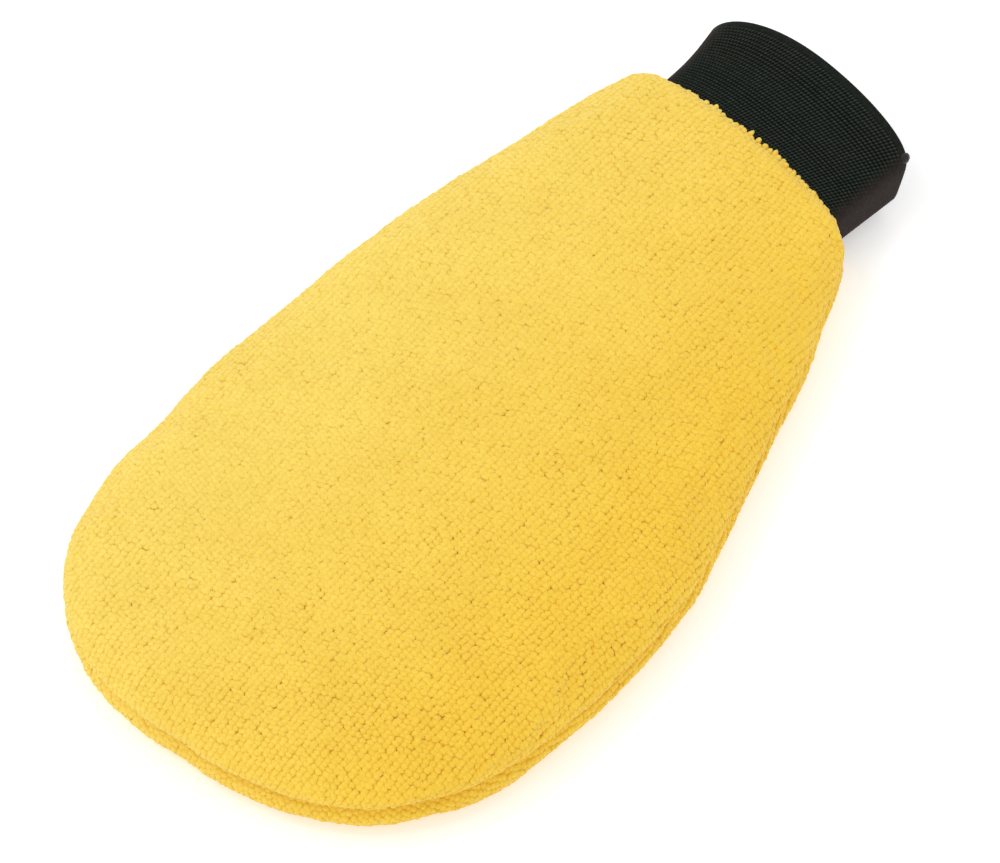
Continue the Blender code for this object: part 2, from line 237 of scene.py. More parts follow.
def weld(piece, distance=1e-6):
    """Join points that coincide and make the faces look outwards."""
    builder = bmesh.new()
    builder.from_mesh(piece.data)
    bmesh.ops.remove_doubles(builder, verts=builder.verts, dist=distance)
    bmesh.ops.recalc_face_normals(builder, faces=builder.faces)
    builder.to_mesh(piece.data)
    builder.free()
    piece.data.shade_smooth()
    return piece


def unit(vectors):
    return vectors / np.maximum(np.linalg.norm(vectors, axis=-1, keepdims=True), 1e-12)


def grid_normals(points):
    return unit(np.cross(np.gradient(points, axis=0), np.gradient(points, axis=1)))


def thicken(piece, thickness):
    """Give a sheet its thickness, away from the side its faces look to."""
    layer = piece.modifiers.new("thickness", "SOLIDIFY")
    layer.thickness = thickness
    layer.offset = -1


# ---------------------------------------------------------------- shape of the body

def side_half_width(from_tip):
    run = from_tip - WIDEST
    return HALF_WIDTH - TAPER_SLOPE * (np.hypot(run, TAPER_EASING) - TAPER_EASING)


def outline(depth=0.0, tip_count=40, side_count=44, lip_count=8):
    """Stations from the left of the mouth round the tip to the right: x, and distance from the tip."""
    turn = np.linspace(0, math.pi / 2, tip_count + 1)
    x = HALF_WIDTH * np.sin(turn) ** (2 / TIP_SQUARENESS)
    y = WIDEST * (1 - np.clip(np.cos(turn), 0, 1) ** (2 / TIP_SQUARENESS))
    straight = np.linspace(WIDEST, BODY_LENGTH - LIP_LENGTH, side_count + 1)[1:]
    bend = np.linspace(0, math.pi / 2, lip_count + 1)[1:]
    lip = LIP_LENGTH - min(depth, PILE_HEIGHT)
    along = np.concatenate([straight, BODY_LENGTH - LIP_LENGTH + lip * np.sin(bend)])
    x = np.concatenate([x, side_half_width(along)])
    y = np.concatenate([y, along])
    return np.concatenate([-x[:0:-1], x]), np.concatenate([y[:0:-1], y])


def spine(from_tip):
    """Where on the middle line a station's inward ray ends."""
    share = np.minimum(from_tip / WIDEST, 1)
    return np.where(from_tip >= WIDEST, from_tip, SPINE_START + share * (WIDEST - SPINE_START))


def quarter_round(share):
    """0 for shares below 0, rising to 1 along a quarter of an ellipse."""
    return 1 - np.sqrt(1 - np.clip(share, 0, 1) ** 2)


def lip_closing(from_tip, depth):
    """0 before the lip of the mouth, rising to 1 at its end, for a layer at some depth."""
    return quarter_round(1 - (BODY_LENGTH - depth - from_tip) / (LIP_LENGTH - depth))


def neck_scales(x, from_tip, depth):
    """How much the body's width and height shrink towards the cuff."""
    closing = quarter_round(1 - (BODY_LENGTH - from_tip) / np.where(x > 0, RIGHT_SHOULDER, LEFT_SHOULDER))
    lip = lip_closing(from_tip, depth)
    margin = LIP_CLEARANCE + PILE_HEIGHT - depth
    lip_width = (CUFF_HALF_WIDTH + margin) / side_half_width(BODY_LENGTH)
    body_half_height = (FRONT_HEIGHT + BACK_DEPTH) / 2
    lip_height = (cuff_half_height(CUFF_BELOW_MOUTH / CUFF_LENGTH) + margin) / body_half_height
    wide = 1 - (1 - NECK_NARROWING) * closing - (NECK_NARROWING - lip_width) * lip
    high = 1 - (1 - NECK_FLATTENING) * closing - (NECK_FLATTENING - lip_height) * lip
    return wide, high


def hug_cuff(across, up, from_tip, depth):
    """Draw the corners of the last few millimetres of the body in against the cuff."""
    margin = LIP_CLEARANCE + PILE_HEIGHT - depth
    side = across / (CUFF_HALF_WIDTH + margin)
    top = up / (cuff_half_height(CUFF_BELOW_MOUTH / CUFF_LENGTH) + margin)
    power = cuff_power(np.arctan2(top, side))
    outside = np.maximum((np.abs(side) ** power + np.abs(top) ** power) ** (1 / power), 1)
    drawn = 1 + (1 / outside - 1) * lip_closing(from_tip, depth)
    return across * drawn, up * drawn


def body_point(x, from_tip, z, depth=0.0):
    """Place points of the body: drawn in at the neck, bowed sideways and turned with the mouth."""
    wide, high = neck_scales(x, from_tip, depth)
    run = np.clip((from_tip - NECK_BLEND_START) / (BODY_LENGTH - NECK_BLEND_START), 0, 1)
    turned = run * run * (3 - 2 * run)
    bow = BOW * np.exp(-((from_tip - BOW_FROM_TIP) / BOW_SPREAD) ** 2)
    across = x * wide
    drawn_back = across * math.tan(NECK_TURN) + MOUTH_CURVE * (across / CUFF_HALF_WIDTH) ** 2
    for side, centre, spread, amount in SIDE_SWAYS:
        reach = np.clip(side * x / HALF_WIDTH, 0, 1)
        across = across + amount * reach * np.exp(-((from_tip - centre) / spread) ** 2)
    across, up = hug_cuff(across, (z - MIDDLE_Z) * high, from_tip, depth)
    to_tip = np.clip(1 - from_tip / WIDEST, 0, 1)
    settled = TIP_SKEW * x * (1 - turned) + TIP_TUCK * to_tip ** 2
    middle = np.clip(1 - (across / CUFF_HALF_WIDTH) ** 2, 0, 1)
    settled += MOUTH_SWELL * middle * lip_closing(from_tip, depth)
    return np.stack([
        BODY_X + across + bow + NECK_SHIFT * turned,
        TIP_Y + from_tip - drawn_back * turned + settled,
        MIDDLE_Z + up,
    ], axis=-1)


def edge_section(side, depth, edge_rows=17, flat_rows=14):
    """Rows of one face from the seam inwards: distance in, share of the rest, height off the seam."""
    height = FRONT_HEIGHT if side > 0 else BACK_DEPTH
    crown = FRONT_CROWN if side > 0 else 0.0
    reach = (FRONT_REACH if side > 0 else BACK_REACH) - depth / 2
    turn = math.pi / 2 * np.linspace(0, 1, edge_rows + 1) ** 1.35
    flat = height - depth - crown
    rise = flat * np.sin(turn) ** (2 / EDGE_POWER)
    groove = GROOVE_DEPTH * np.exp(-(rise / GROOVE_WIDTH) ** 2)
    distance = depth + reach * (1 - np.clip(np.cos(turn), 0, 1) ** (2 / EDGE_POWER)) + groove
    share = np.linspace(0, 1, flat_rows + 1)[1:]
    distances = np.concatenate([distance, np.full(flat_rows, depth + reach)])
    shares = np.concatenate([np.zeros(edge_rows + 1), share])
    heights = np.concatenate([rise, flat + crown * np.sin(share * math.pi / 2)])
    return distances, shares, heights


def seam_ripple(x, y):
    """Unevenness of the sewn edge, by place along it."""
    along = np.concatenate([[0], np.cumsum(np.hypot(np.diff(x), np.diff(y)))])
    long_wave = np.sin(along * 2 * math.pi / LONG_RIPPLE + 0.6)
    short_wave = np.sin(along * 2 * math.pi / SHORT_RIPPLE + 2.1)
    return RIPPLE * (0.6 * long_wave + 0.4 * short_wave)


def face_points(side, depth):
    """World points of one face at a depth below the pile's tips, and the same points on the flat cut."""
    x, y = outline(depth)
    distance, share, height = edge_section(side, depth)
    to_y = spine(y) - y
    length = np.hypot(x, to_y)
    rippled = seam_ripple(x, y)[:, None] * np.exp(-(height / RIPPLE_HEIGHT) ** 2)[None]
    start = distance[None] + rippled
    inward = start + (length[:, None] - start) * share[None]
    ray = np.stack([-x / length, to_y / length], axis=1)
    plan = np.stack([x, y], axis=1)[:, None] + ray[:, None] * inward[..., None]
    z = np.broadcast_to(SEAM_Z + side * height, inward.shape)
    step = np.hypot(np.diff(inward, axis=1), np.diff(z, axis=1))
    arc = np.concatenate([np.zeros((len(x), 1)), np.cumsum(step, axis=1)], axis=1)
    flat = plan[:, -1][:, None] - ray[:, None] * (arc[:, -1:] - arc)[..., None]
    past_lip = np.clip(flat[..., 1] - (BODY_LENGTH - LIP_LENGTH), 0, LIP_LENGTH)
    flat[..., 1] += 0.5 * past_lip ** 2 / LIP_LENGTH
    return body_point(plan[..., 0], plan[..., 1], z, min(depth, PILE_HEIGHT)), flat


# ---------------------------------------------------------------- puffing the body

PUFF_FRAMES = 20
PUFF_PRESSURE = 3.0
PUFF_ROOM = -0.03               # a negative shrink: the cloth is this much roomier than its seams
PUFF_CAP = 0.0010               # furthest that any point may move
STIFF_STATIONS = 5              # stations at each end, by the mouth, that stay put
STIFF_ROWS = 9                  # rows over which the seam's hold fades out


def puffed(front, back):
    """Both faces after a cloth simulation with a little pressure and roomy cloth; the seam stays put."""
    columns, rows = front.shape[:2]
    count = columns * rows
    points = np.concatenate([front.reshape(-1, 3), back.reshape(-1, 3)])
    faces = grid_faces(columns, rows)
    pillow = weld(add_mesh("pillow", points, np.concatenate([faces, faces[:, ::-1] + count])))
    before = mesh_points(pillow.data)
    tree = KDTree(count * 2)
    for number, point in enumerate(points):
        tree.insert(point, number)
    tree.balance()
    source = np.array([tree.find(point)[1] for point in before]) % count
    column, row = source // rows, source % rows
    held = (row == 0) | (column < STIFF_STATIONS) | (column >= columns - STIFF_STATIONS)
    pillow.vertex_groups.new(name="held").add(np.nonzero(held)[0].tolist(), 1.0, "REPLACE")
    inflate(pillow)
    after = mesh_points(pillow.evaluated_get(bpy.context.evaluated_depsgraph_get()).data)
    moved = after - before
    length = np.linalg.norm(moved, axis=1, keepdims=True)
    moved *= PUFF_CAP * np.tanh(length / PUFF_CAP) / np.maximum(length, 1e-9)
    welded = KDTree(len(before))
    for number, point in enumerate(before):
        welded.insert(point, number)
    welded.balance()
    shift = np.array([moved[welded.find(point)[1]] for point in points])
    freed = np.clip(np.arange(rows) / STIFF_ROWS, 0, 1) ** 2
    shift *= np.tile(freed, 2 * columns)[:, None]
    bpy.data.objects.remove(pillow)
    bpy.context.scene.frame_set(1)
    return front + shift[:count].reshape(front.shape), back + shift[count:].reshape(back.shape)


def mesh_points(mesh):
    values = np.zeros(len(mesh.vertices) * 3, np.float32)
    mesh.vertices.foreach_get("co", values)
    return values.reshape(-1, 3).astype(float)


def inflate(pillow):
    """Run the cloth simulation for a few frames."""
    cloth = pillow.modifiers.new("puff", "CLOTH")
    settings = cloth.settings
    settings.quality = 6
    settings.mass = 0.2
    settings.tension_stiffness = 12
    settings.compression_stiffness = 12
    settings.bending_stiffness = 0.4
    settings.use_pressure = True
    settings.uniform_pressure_force = PUFF_PRESSURE
    settings.vertex_group_mass = "held"
    settings.shrink_min = PUFF_ROOM
    settings.effector_weights.gravity = 0
    cloth.collision_settings.use_collision = False
    cloth.collision_settings.use_self_collision = False
    cloth.point_cache.frame_start = 1
    cloth.point_cache.frame_end = PUFF_FRAMES
    for number in range(1, PUFF_FRAMES + 1):
        bpy.context.scene.frame_set(number)


def soft_wander(points, amount, seed):
    """A slow, smooth rise and fall over the face, like the unevenness of hand-laid padding."""
    rng = np.random.default_rng(seed)
    waves = 7
    height = np.zeros(points.shape[:2])
    for _ in range(waves):
        wave = rng.normal(size=2) * 2 * math.pi / rng.uniform(0.05, 0.11)
        height += np.sin(points[..., 0] * wave[0] + points[..., 1] * wave[1] + rng.uniform(0, 2 * math.pi))
    return amount * height / waves


def body_faces():
    """Outer faces of the mitt, at the tips of the pile, with their flat cuts, by side."""
    front, front_flat = face_points(1, 0.0)
    back, back_flat = face_points(-1, 0.0)
    front, back = puffed(front, back)
    fade = np.clip(np.arange(front.shape[1]) / HOLD_OF_SEAM, 0, 1)[None]
    front[..., 2] += soft_wander(front, UNEVENNESS, SEED) * fade
    back[..., 2] = np.maximum(back[..., 2], FLOOR_Z)
    return {1: (front, front_flat), -1: (back, back_flat)}


def sunk(points, side, depth):
    """The same face at a depth below the pile's tips."""
    top, _ = face_points(side, 0.0)
    deep, _ = face_points(side, depth)
    return points + (deep - top)


# ---------------------------------------------------------------- terry

def terry_cloth(name, side, points):
    """The ground cloth under the pile, turned in along the seam; the allowance is trimmed by the cuff."""
    base = sunk(points, side, PILE_HEIGHT)
    seam = base[:, 0]
    inwards = base[:, -1] - seam
    inwards[:, 2] = 0
    inwards = unit(inwards)
    allowance = ALLOWANCE * np.where(inner_stations(), 1.0, TRIMMED_SHARE)[:, None]
    turned = []
    for share in (1.0, 0.66, 0.33):
        row = seam + inwards * allowance * share
        row[:, 2] = seam[:, 2] + side * BACKING * 0.8
        turned.append(row)
    first = seam + np.array([0, 0, side * BACKING * 0.6])
    rows = np.concatenate([np.stack(turned + [first], axis=1), base[:, 1:]], axis=1)
    piece = add_grid(name, rows)
    thicken(piece, BACKING)
    return piece


def knob_places(side, flat):
    """Rows of knobs over the flat cut, a little jittered."""
    rng = np.random.default_rng(SEED + side)
    low = flat.reshape(-1, 2).min(axis=0)
    high = flat.reshape(-1, 2).max(axis=0)
    rows = np.arange(low[0], high[0], ROW_PITCH)
    steps = np.arange(low[1], high[1], KNOB_PITCH)
    u, v = np.meshgrid(rows, steps, indexing="ij")
    v = v + (np.arange(len(rows)) % 2)[:, None] * KNOB_PITCH / 2
    u = u + rng.normal(0, 0.075, u.shape) * ROW_PITCH
    v = v + rng.normal(0, 0.10, v.shape) * KNOB_PITCH
    return np.stack([u.ravel(), v.ravel()], axis=1)


def lift(places, flat, *fields):
    """Carry flat places onto the face: the value of each field at every place that is on the cut."""
    columns, rows = flat.shape[:2]
    quads = grid_faces(columns, rows)
    triangles = np.concatenate([quads[:, [0, 1, 2]], quads[:, [0, 2, 3]]])
    cut = flat.reshape(-1, 2)
    tree = BVHTree.FromPolygons(np.c_[cut, np.zeros(len(cut))].tolist(), triangles.tolist())
    hits = [tree.ray_cast(Vector((u, v, 1.0)), Vector((0, 0, -1)))[2] for u, v in places]
    found = np.array([hit is not None for hit in hits])
    corner = triangles[np.array([hit for hit in hits if hit is not None])]
    target = places[found]
    a, b, c = (cut[corner[:, k]] for k in range(3))
    first, second, off = b - a, c - a, target - a
    area = first[:, 0] * second[:, 1] - first[:, 1] * second[:, 0]
    share_b = (off[:, 0] * second[:, 1] - off[:, 1] * second[:, 0]) / area
    share_c = (first[:, 0] * off[:, 1] - first[:, 1] * off[:, 0]) / area
    shares = np.stack([1 - share_b - share_c, share_b, share_c], axis=1)
    return [np.einsum("nk,nkd->nd", shares, field.reshape(len(cut), -1)[corner]) for field in fields]


def pile(word, side, points, flat):
    """Knobs over one face, in strips along the mitt so that no strip's mesh is too dense."""
    base = sunk(points, side, PILE_HEIGHT)
    normals = grid_normals(base)
    normals *= side * np.sign(normals[len(normals) // 2, -2, 2])
    from_seam = np.linalg.norm(np.diff(base, axis=1), axis=2).cumsum(axis=1)
    from_seam = np.concatenate([np.zeros((len(base), 1)), from_seam], axis=1)
    place, normal, edge_distance = lift(knob_places(side, flat), flat, base, normals, from_seam)
    normal = unit(normal)
    edge_distance = edge_distance[:, 0]
    edges = np.quantile(place[:, 1], np.linspace(0, 1, PILE_STRIPS + 1))
    strip_of = np.clip(np.searchsorted(edges, place[:, 1], side="right") - 1, 0, PILE_STRIPS - 1)
    strips = []
    for number in range(PILE_STRIPS):
        chosen = strip_of == number
        seed = SEED + 100 * (side + 2) + number
        strips.append(knobs(f"{word}_pile_{number + 1}", place[chosen], normal[chosen],
                            edge_distance[chosen], seed))
    return strips


def knob_template():
    """Points of one knob, round and flattened, as (x, y, height), and its faces."""
    turn = 2 * math.pi * np.arange(KNOB_SIDES) / KNOB_SIDES
    shapes = []
    for rings in (ROUND_KNOB, FLAT_KNOB):
        points = [(radius * math.cos(t), radius * math.sin(t), rise) for radius, rise in rings for t in turn]
        shapes.append(np.array(points + [(0.0, 0.0, 1.0)]))
    faces = []
    for ring in range(len(ROUND_KNOB) - 1):
        for step in range(KNOB_SIDES):
            here = ring * KNOB_SIDES + step
            there = ring * KNOB_SIDES + (step + 1) % KNOB_SIDES
            faces.append((here, there, there + KNOB_SIDES))
            faces.append((here, there + KNOB_SIDES, here + KNOB_SIDES))
    top = (len(ROUND_KNOB) - 1) * KNOB_SIDES
    for step in range(KNOB_SIDES):
        faces.append((top + step, top + (step + 1) % KNOB_SIDES, top + KNOB_SIDES))
    return shapes[0], shapes[1], np.array(faces)


def pressed_share(place, edge_distance, rng):
    """How flattened the pile is: round knobs by the seam and the mouth, pressed ones in the middle."""
    inside = np.clip((edge_distance - ROUND_BORDER) / FLATTENING, 0, 1)
    to_mouth = np.clip((MOUTH[1] - 0.008 - place[:, 1]) / 0.060, 0, 1)
    to_left = np.clip(0.75 - (place[:, 0] - BODY_X) / HALF_WIDTH * 0.5, 0.3, 1)
    return np.clip(inside * to_mouth * to_left * 1.1 + rng.normal(0, 0.12, len(place)), 0, 1)


def lip_share(place):
    """1 at the edge of the mouth, where the pile leans over the cuff, fading to 0 a little way in."""
    along_neck = np.array([math.sin(NECK_TURN), math.cos(NECK_TURN), 0.0])
    return np.clip(((place - MOUTH) @ along_neck + 0.0038) / 0.003, 0, 1)


def left_to_right_share(place):
    """Share of the way across the body, 0 on the left to 1 on the right; the pile's colour turns it into
    painted light, paler on the left where the light comes from and deeper on the right.
    """
    return np.clip(0.5 + 0.5 * (place[:, 0] - BODY_X) / HALF_WIDTH, 0, 1)


def fullness(place):
    """The pile stands closer on the left and by the mouth than on the right and at the fingertips."""
    to_tip = np.clip((MOUTH[1] - place[:, 1]) / BODY_LENGTH, 0, 1)
    return 1 + FULLER * (1 - (left_to_right_share(place) + to_tip) / 2)


def knobs(name, place, normal, edge_distance, seed):
    """A strip of pile: one small knob of yarn at each place, each a little different."""
    rng = np.random.default_rng(seed)
    count = len(place)
    along = np.array([0.0, 1.0, 0.0]) + rng.normal(0, 0.12, (count, 3))
    along = unit(along - normal * np.sum(along * normal, axis=1, keepdims=True))
    across = np.cross(along, normal)
    pressed = pressed_share(place, edge_distance, rng)
    sewn_down = between(0.45, 1.0, np.clip(edge_distance / SEWN_DOWN, 0, 1))
    height = PILE_HEIGHT * rng.uniform(0.84, 1.08, count) * sewn_down
    height *= 1 - 0.10 * pressed
    full = fullness(place) * (1 - SLIMMER_AT_LIP * lip_share(place))
    wide = KNOB_WIDE * rng.uniform(0.90, 1.10, count) * full
    long = KNOB_LONG * rng.uniform(0.90, 1.10, count) * full * (1 + FLUFFED_LENGTH * (1 - pressed))
    lean = along * rng.normal(-0.20, 0.16, (count, 1)) + across * rng.normal(0, 0.12, (count, 1))
    lean += along * (lip_share(place) * rng.uniform(0.2, 1.5, count))[:, None]
    round_knob, flat_knob, faces = knob_template()
    shape = round_knob + (flat_knob - round_knob) * pressed[:, None, None]
    height *= 1 + 0.7 * lip_share(place) * rng.uniform(-0.3, 1, count)
    wobble = 1 + rng.normal(0, 0.11, (count, len(round_knob)))
    rise = shape[..., 2] * height[:, None] * (1 + rng.normal(0, 0.05, (count, len(round_knob))))
    points = (
        place[:, None]
        + across[:, None] * (shape[..., 0] * wobble * wide[:, None])[..., None]
        + along[:, None] * (shape[..., 1] * wobble * long[:, None])[..., None]
        + normal[:, None] * rise[..., None]
        + lean[:, None] * (rise * shape[..., 2])[..., None]
    )
    points[..., 2] = np.maximum(points[..., 2], FLOOR_Z)
    faces = faces[None] + np.arange(count)[:, None, None] * len(round_knob)
    tone = np.repeat(rng.uniform(0, 1, count), len(round_knob))
    # painted light: the pile's colour is paler on the left and deeper on the right, as the light falls
    # across the mitt
    nap = np.repeat(left_to_right_share(place), len(round_knob))
    # the tip attribute, 0 at a knob's root to 1 at its tip, carries painted shade into the pile's colour
    return add_mesh(name, points.reshape(-1, 3), faces.reshape(-1, 3),
                    attributes={"tip": shape[..., 2], "tone": tone, "nap": nap})


# ---------------------------------------------------------------- padding and lining

def inner_stations():
    """Stations that are clear of the cuff's lower end."""
    _, y = outline()
    return y <= BODY_LENGTH - PADDING_STOPS


def sponge_pad(name, side, points):
    """A closed slab of sponge lying on the turned-in allowance."""
    kept = inner_stations()
    outer = sunk(points, side, SPONGE_DEPTH)[kept]
    inner = sunk(points, side, SPONGE_DEPTH + SPONGE_THICKNESS)[kept]
    rest = 2.4 * BACKING
    for face in (outer, inner):
        off_seam = side * (face[..., 2] - SEAM_Z)
        face[..., 2] = SEAM_Z + side * np.maximum(off_seam, rest)
    return add_grid(name, np.concatenate([outer, inner[:, ::-1]], axis=1), wrap_rows=True)


def hand_lining(name, side, points):
    """Smooth cloth round the hand; it stops short of the cuff."""
    base = sunk(points, side, LINING_DEPTH)[inner_stations()]
    piece = add_grid(name, base)
    thicken(piece, LINING_THICKNESS)
    return piece


# ---------------------------------------------------------------- cuff

def signed_power(value, power):
    return np.sign(value) * np.abs(value) ** power


def between(first, last, share):
    return first + (last - first) * share


def cuff_half_height(along):
    return between(CUFF_BASE_HALF, CUFF_RIM_HALF, along)


def neck_point(x, from_mouth, z):
    """Place points of the cuff, measured from the middle of the mouth along the turned neck."""
    return np.stack(np.broadcast_arrays(
        MOUTH[0] + x * math.cos(NECK_TURN) + from_mouth * math.sin(NECK_TURN),
        MOUTH[1] + from_mouth * math.cos(NECK_TURN) - x * math.sin(NECK_TURN),
        MIDDLE_Z + z,
    ), axis=-1)


def cuff_power(turn):
    """Squareness of the cuff's section: nearly round, but folded flat on the right."""
    return CUFF_POWER + FOLD_SQUARENESS * np.clip(np.cos(turn), 0, 1) ** 0.5


def cuff_point(turn, along, wall):
    """Points of the cuff: angle round it, share of its length, depth below its outside."""
    power = cuff_power(turn)
    waist = CUFF_WAIST * np.sin(math.pi * along) * np.clip(-np.cos(turn), 0, 1)
    half_width = between(CUFF_HALF_WIDTH, CUFF_RIM_HALF_WIDTH, along) - waist - wall
    dome = np.where(np.sin(turn) > 0, between(1.0, CUFF_RIM_DOME, along), 1.0)
    half_height = dome * cuff_half_height(along) - wall
    across = signed_power(np.cos(turn), 2 / power)
    z = half_height * signed_power(np.sin(turn), 2 / power)
    length = CUFF_LENGTH + CUFF_RIM_SLANT * z * along
    drawn_back = between(MOUTH_CURVE, CUFF_RIM_CURVE, along) * across ** 2
    drawn_back += CUFF_LEFT_ROUND * along * np.clip(-across, 0, 1) ** 6
    from_mouth = length * along - CUFF_BELOW_MOUTH - drawn_back
    return neck_point(half_width * across - CUFF_LEAN * along, from_mouth, z)


def even_turns(columns):
    """Angles round the cuff that are evenly spaced along its girth."""
    fine = np.linspace(0, 2 * math.pi, 4001)
    ring = cuff_point(fine, 0.5, 0.0)
    arc = np.concatenate([[0], np.cumsum(np.linalg.norm(np.diff(ring, axis=0), axis=1))])
    return np.interp(np.linspace(0, arc[-1], columns + 1)[:-1], arc, fine), arc[-1]


def plain_share(turn):
    """1 on the folded sides of the band, where the stitches are flattened and the elastic's colour paints
    sheen, and 0 on its top.
    """
    to_fold = np.abs((turn - FOLD_MIDDLE + math.pi) % (2 * math.pi) - math.pi)
    right = np.clip((FOLD_REACH - to_fold) / FOLD_BLEND, 0, 1)
    left = np.clip((-np.cos(turn) - PLAIN_LEFT) / (1 - PLAIN_LEFT), 0, 1)
    return right + left


def woven_band(name):
    """The elastic tube: ribs round the wrist with slanted stitches outside, plain inside."""
    ribs = round(CUFF_LENGTH / RIB_PITCH)
    _, girth = even_turns(8)
    columns = round(girth / STITCH_PITCH) * 4
    turn, _ = even_turns(columns)
    rim = 1 - BAND_WALL / 2 / CUFF_LENGTH
    outer_rows = ribs * 4
    outer = np.linspace(0, rim, outer_rows + 1)
    bend = np.linspace(0, math.pi, 7)[1:-1]
    bead = rim + (1 - rim) * np.sin(bend)
    inner = np.linspace(rim, 0, 27)
    share = np.concatenate([outer, bead, inner])
    wall = np.concatenate([
        np.zeros(len(outer)),
        BAND_WALL / 2 * (1 - np.cos(bend)),
        np.full(len(inner), BAND_WALL),
    ])
    points = cuff_point(turn[:, None], share[None], wall[None])
    phase = share * ribs
    ridge = np.abs(np.sin(math.pi * phase)) ** 0.8
    yarn = np.arange(columns)[:, None] / 4 + 0.5 * np.floor(phase)[None] + 0.8 * (phase % 1)[None]
    knot = 0.5 + 0.5 * np.cos(2 * math.pi * yarn)
    outside = np.arange(len(share)) <= outer_rows
    woven = outside * np.clip(((1 - share) * CUFF_LENGTH - SELVEDGE) / 0.0006, 0, 1)
    plain = plain_share(turn)[:, None]
    woven = woven * (1 - 0.8 * plain)
    relief = (ridge * (RIB_HEIGHT + STITCH_HEIGHT * knot) - RIB_HEIGHT) * woven
    normals = grid_normals(points)
    outwards = points - MOUTH
    outwards[..., 1] = 0
    normals *= np.sign(np.sum(normals * outwards, axis=2, keepdims=True))
    # the ridge attribute carries painted shade and light: the elastic's colour is darkest where it is low,
    # in the grooves, and lightest on the stitch tops
    height = between(0.30, ridge * (0.12 + 0.88 * knot ** 2), woven)
    return add_grid(name, points + normals * relief[..., None], wrap_columns=True, wrap_rows=True,
                    attributes={
                        "ridge": height,
                        "plain": np.broadcast_to(plain, points.shape[:2]),
                    })


# ---------------------------------------------------------------- threads

def tube(path, radius, sides=6):
    """Points and quads of a tube along a path."""
    tangent = unit(np.gradient(path, axis=0))
    up = np.where(np.abs(tangent[:, 2:3]) > 0.9, [[1.0, 0, 0]], [[0, 0, 1.0]])
    side = unit(np.cross(tangent, up))
    top = np.cross(side, tangent)
    turn = 2 * math.pi * np.arange(sides) / sides
    ring = side[:, None] * np.cos(turn)[None, :, None] + top[:, None] * np.sin(turn)[None, :, None]
    points = path[:, None] + ring * np.broadcast_to(radius, len(path))[:, None, None]
    return points.reshape(-1, 3), grid_faces(len(path), sides, wrap_rows=True)


def add_tubes(name, paths, radius, sides=6):
    """One object made of separate lengths of thread, each narrowed to nothing at its ends."""
    points, faces, used = [], [], 0
    for path in paths:
        ends = np.clip(np.sin(np.linspace(0, math.pi, len(path))) * 3, 0.02, 1)
        tube_points, tube_faces = tube(path, radius * ends, sides)
        points.append(tube_points)
        faces.append(tube_faces + used)
        used += len(tube_points)
    return add_mesh(name, np.concatenate(points), np.concatenate(faces))


def spaced(path, step):
    """Points at an even step along a path."""
    arc = np.concatenate([[0], np.cumsum(np.linalg.norm(np.diff(path, axis=0), axis=1))])
    marks = np.arange(0, arc[-1], step)
    return np.stack([np.interp(marks, arc, path[:, axis]) for axis in range(3)], axis=1)


def stitches(name, path, length, radius, dip):
    """A lockstitch seam: separate short stitches that dive in at both ends."""
    steps = 7
    dense = spaced(path, length / steps)
    dive = dip * (np.sin(np.linspace(0, math.pi, steps)) - 1)
    paths = []
    for start in range(0, len(dense) - steps, steps):
        paths.append(dense[start:start + steps] + dive[:, None] * np.array([0, 0, 1.0]))
    return add_tubes(name, paths, radius)


def overlock(name, path, pitch, wide, high, radius):
    """Overlock: one thread that winds round the cloth's raw edge."""
    steps = 10
    dense = spaced(path, pitch / steps)
    side = unit(np.cross(unit(np.gradient(dense, axis=0)), [0, 0, 1.0]))
    turn = 2 * math.pi * np.arange(len(dense)) / steps
    winding = dense + side * (wide * np.cos(turn))[:, None]
    winding[:, 2] += high * np.sin(turn)
    return add_tubes(name, [winding], radius)


def seam_path(distance_in, clear_of_cuff=False):
    """Line that follows the outline at the seam's height, some distance in."""
    x, y = outline()
    to_y = spine(y) - y
    share = distance_in / np.hypot(x, to_y)
    path = body_point(x * (1 - share), y + to_y * share, SEAM_Z)
    return path[inner_stations()] if clear_of_cuff else path


# ---------------------------------------------------------------- materials

